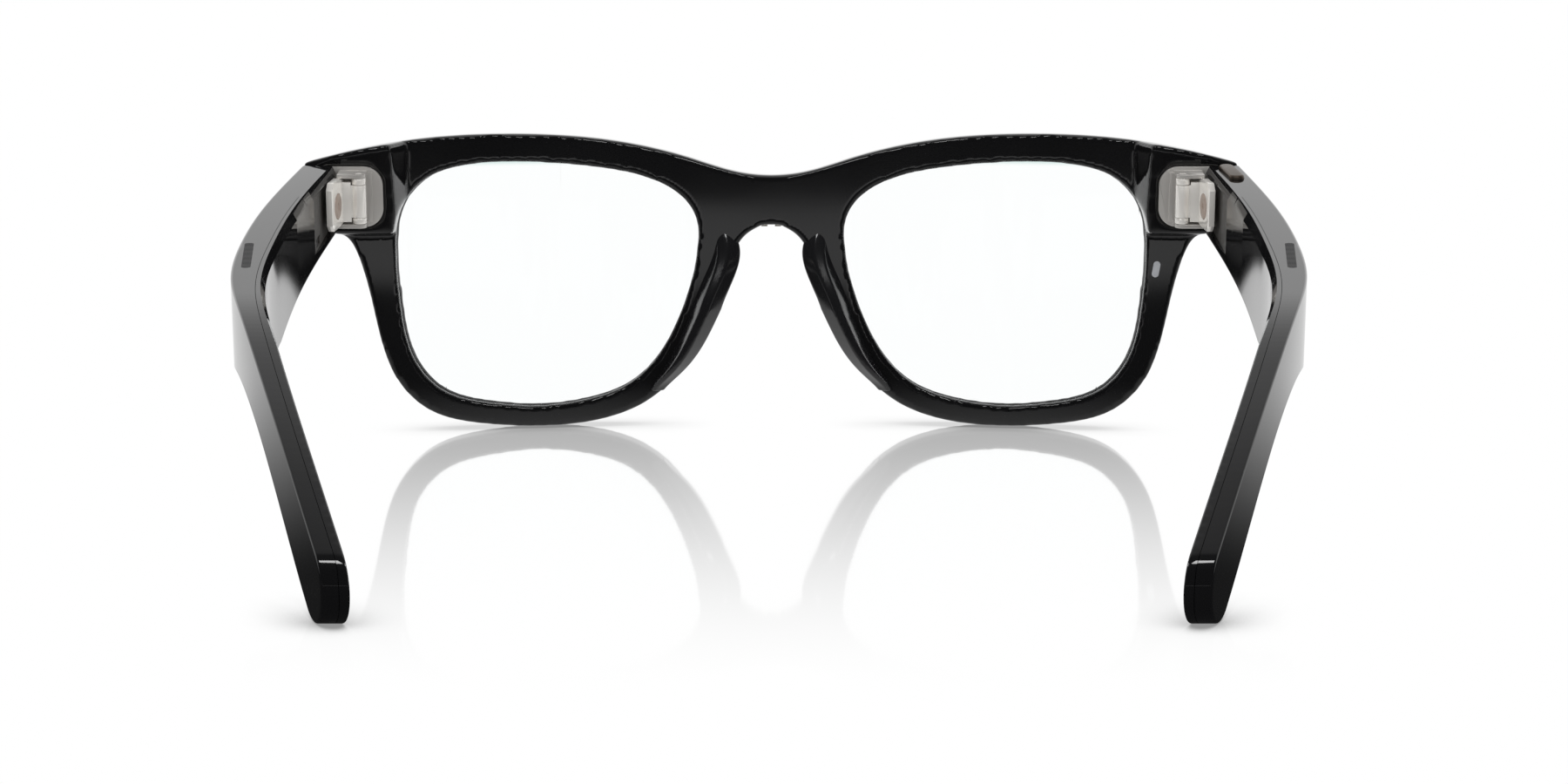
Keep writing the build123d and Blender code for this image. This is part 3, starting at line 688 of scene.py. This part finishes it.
def make_sound_mesh():
    material = bpy.data.materials.new("punched sound mesh")
    material.use_nodes = True
    nodes = material.node_tree.nodes
    links = material.node_tree.links
    shader = nodes["Principled BSDF"]
    shader.inputs["Metallic"].default_value = 0.2
    shader.inputs["Roughness"].default_value = 0.6
    shader.inputs["Specular IOR Level"].default_value = 0.15
    place = nodes.new("ShaderNodeTexCoord")
    cells = nodes.new("ShaderNodeTexVoronoi")
    cells.inputs["Scale"].default_value = 3200.0
    cells.inputs["Randomness"].default_value = 0.0
    links.new(place.outputs["Object"], cells.inputs["Vector"])
    holes = nodes.new("ShaderNodeMapRange")
    holes.inputs["From Min"].default_value = 0.28
    holes.inputs["From Max"].default_value = 0.38
    links.new(cells.outputs["Distance"], holes.inputs["Value"])
    tone = nodes.new("ShaderNodeMix")
    tone.data_type = "RGBA"
    tone.inputs[6].default_value = HOLE_PAINTED_SHADE
    tone.inputs[7].default_value = MESH_GREY
    links.new(holes.outputs["Result"], tone.inputs["Factor"])
    links.new(tone.outputs[2], shader.inputs["Base Color"])
    bump = nodes.new("ShaderNodeBump")
    bump.inputs["Strength"].default_value = 0.4
    bump.inputs["Distance"].default_value = 0.00005
    links.new(holes.outputs["Result"], bump.inputs["Height"])
    links.new(bump.outputs["Normal"], shader.inputs["Normal"])
    return material


sound_mesh = make_sound_mesh()
for side in ("right", "left"):
    dress(side + "_top_grille", sound_mesh)
    dress(side + "_lower_grille", sound_mesh)

# ---- Capture button and power slider ----
# A long pill button in brushed bronze on top of the right temple, with worn bright bevels.
# The power slider is a small ribbed knob low in the left hinge pocket.
button_bronze = finish("brushed bronze button", (0.085, 0.066, 0.052, 1), (0.135, 0.108, 0.086, 1), 0.30,
                       0.14, scale=600.0, stretch=(1, 0.1, 1), metallic=0.9)
button = blank_from("capture_button", "capture_button_brushed")
break_edges(button, 0.00012, 3, 30)
seat(button, "capture_button", "button_bronze", button_bronze, "capture_button")
slider = blank_from("power_slider", "power_slider_moulded")
break_edges(slider, 0.00005, 2, 40)
seat(slider, "power_slider", "dark_trim", trim_black, "power_slider")

# ---- Inside the temples ----
# Speaker, microphone, spring box and boards, cemented or clipped in the hollow of each shell.
# The right side carries the main board and touch sensor, the left side the battery.
battery_wrap = finish("battery wrap", (0.16, 0.17, 0.18, 1), (0.24, 0.25, 0.26, 1), 0.30, 0.18,
                      scale=300.0, metallic=0.4)
spring_steel = finish("drawn spring steel", (0.46, 0.46, 0.48, 1), (0.60, 0.60, 0.62, 1), 0.18, 0.12,
                      scale=900.0, metallic=1.0)
for side in ("right", "left"):
    dress(side + "_spring_box", spring_steel)
    dress(side + "_flex_spring", spring_steel)
    dress(side + "_spring_carriage", spring_steel)
    dress(side + "_speaker", trim_black)
    dress(side + "_microphone", sensor_can)
dress("main_board", solder_mask)
dress("processor_shield", sensor_can)
dress("touch_sensor", polyimide)
dress("button_switch", sensor_can)
dress("battery", battery_wrap)
dress("battery_board", solder_mask)

# ---- Studio ----
# A white table with a soft mirror that fades towards the viewer, painted contact shadows under the glasses,
# and a white wall ahead.
# What the gloss mirrors is set apart from what is seen: dark behind the camera and bright ahead.


def is_mirrored(nodes, links):
    """One for light mirrored by gloss, and nought for light seen straight or through glass."""
    path = nodes.new("ShaderNodeLightPath")
    return combine(nodes, links, "MULTIPLY", path.outputs["Is Glossy Ray"], path.outputs["Is Reflection Ray"])


def make_room():
    world = bpy.data.worlds.new("studio")
    bpy.context.scene.world = world
    world.use_nodes = True
    nodes = world.node_tree.nodes
    links = world.node_tree.links
    seen = nodes["Background"]
    seen.inputs["Color"].default_value = (1, 1, 1, 1)
    way = nodes.new("ShaderNodeTexCoord")
    split = nodes.new("ShaderNodeSeparateXYZ")
    links.new(way.outputs["Generated"], split.inputs[0])
    wall = ramp(nodes, links, split.outputs["Y"], -0.20, 0.45, 0.012, 1.0)
    falloff = ramp(nodes, links, split.outputs["Z"], 0.27, 0.33, 1.0, 0.80)
    faded = combine(nodes, links, "MULTIPLY", wall, falloff)
    top = ramp(nodes, links, split.outputs["Z"], 0.62, 0.98, 0.012, 0.06)
    mirrored = nodes.new("ShaderNodeBackground")
    links.new(combine(nodes, links, "MAXIMUM", faded, top), mirrored.inputs["Color"])
    either = nodes.new("ShaderNodeMixShader")
    links.new(is_mirrored(nodes, links), either.inputs["Fac"])
    links.new(seen.outputs[0], either.inputs[1])
    links.new(mirrored.outputs[0], either.inputs[2])
    links.new(either.outputs[0], nodes["World Output"].inputs["Surface"])


def make_table_top():
    material = bpy.data.materials.new("white table")
    material.use_nodes = True
    nodes = material.node_tree.nodes
    links = material.node_tree.links
    nodes.remove(nodes["Principled BSDF"])
    place = nodes.new("ShaderNodeTexCoord")
    split = nodes.new("ShaderNodeSeparateXYZ")
    links.new(place.outputs["Object"], split.inputs[0])
    # Painted contact shadow: the table's glow is darkened where an occlusion test finds parts close above.
    near = nodes.new("ShaderNodeAmbientOcclusion")
    near.samples = 16
    near.inputs["Distance"].default_value = 0.011
    painted_contact_shadow = ramp(nodes, links, near.outputs["AO"], 0.25, 0.93, 0.30, 1.0)
    white = nodes.new("ShaderNodeEmission")
    links.new(painted_contact_shadow, white.inputs["Color"])
    mirror = nodes.new("ShaderNodeBsdfGlossy")
    mirror.inputs["Color"].default_value = (1, 1, 1, 1)
    mirror.inputs["Roughness"].default_value = 0.045
    depth = ramp(nodes, links, split.outputs["Y"], -0.110, 0.085, 0.0, 0.56)
    surface = nodes.new("ShaderNodeMixShader")
    links.new(depth, surface.inputs["Fac"])
    links.new(white.outputs[0], surface.inputs[1])
    links.new(mirror.outputs[0], surface.inputs[2])
    card = nodes.new("ShaderNodeEmission")
    ahead = ramp(nodes, links, split.outputs["Y"], -0.055, 0.12, 0.02, 0.85)
    behind = ramp(nodes, links, split.outputs["Y"], -0.62, -0.42, 0.85, 0.02)
    links.new(combine(nodes, links, "MAXIMUM", ahead, behind), card.inputs["Color"])
    either = nodes.new("ShaderNodeMixShader")
    links.new(is_mirrored(nodes, links), either.inputs["Fac"])
    links.new(surface.outputs[0], either.inputs[1])
    links.new(card.outputs[0], either.inputs[2])
    links.new(either.outputs[0], nodes["Material Output"].inputs["Surface"])
    return material


make_room()
bpy.ops.object.select_all(action="DESELECT")
bpy.ops.mesh.primitive_plane_add(size=6.0, location=(0, 0, 0))
table = bpy.context.active_object
table.name = "table"
table.data.materials.append(make_table_top())


def soft_box(name, place, aim, size, power):
    light = bpy.data.lights.new(name, "AREA")
    light.shape = "RECTANGLE"
    light.size = size[0]
    light.size_y = size[1]
    light.energy = power
    lamp = bpy.data.objects.new(name, light)
    bpy.context.scene.collection.objects.link(lamp)
    lamp.location = place
    lamp.rotation_euler = (Vector(aim) - Vector(place)).to_track_quat("-Z", "Y").to_euler()


for label, hand in (("right", 1), ("left", -1)):
    soft_box(label + " soft box", (hand * 0.16, -0.30, 0.50), (hand * 0.05, -0.02, 0.02), (0.16, 0.07), 0.42)

# ---- Camera ----
# Standing behind the glasses and a little above them, looking slightly down at the front.
camera = bpy.data.objects.new("camera", bpy.data.cameras.new("camera"))
bpy.context.scene.collection.objects.link(camera)
camera.location = (0.00206, -0.4840, 0.0920)
camera.rotation_euler = (math.radians(81.15), 0, 0)
camera.data.lens = 80
camera.data.sensor_width = 36
camera.data.clip_start = 0.01
bpy.context.scene.camera = camera
bpy.context.scene.view_settings.view_transform = "Standard"
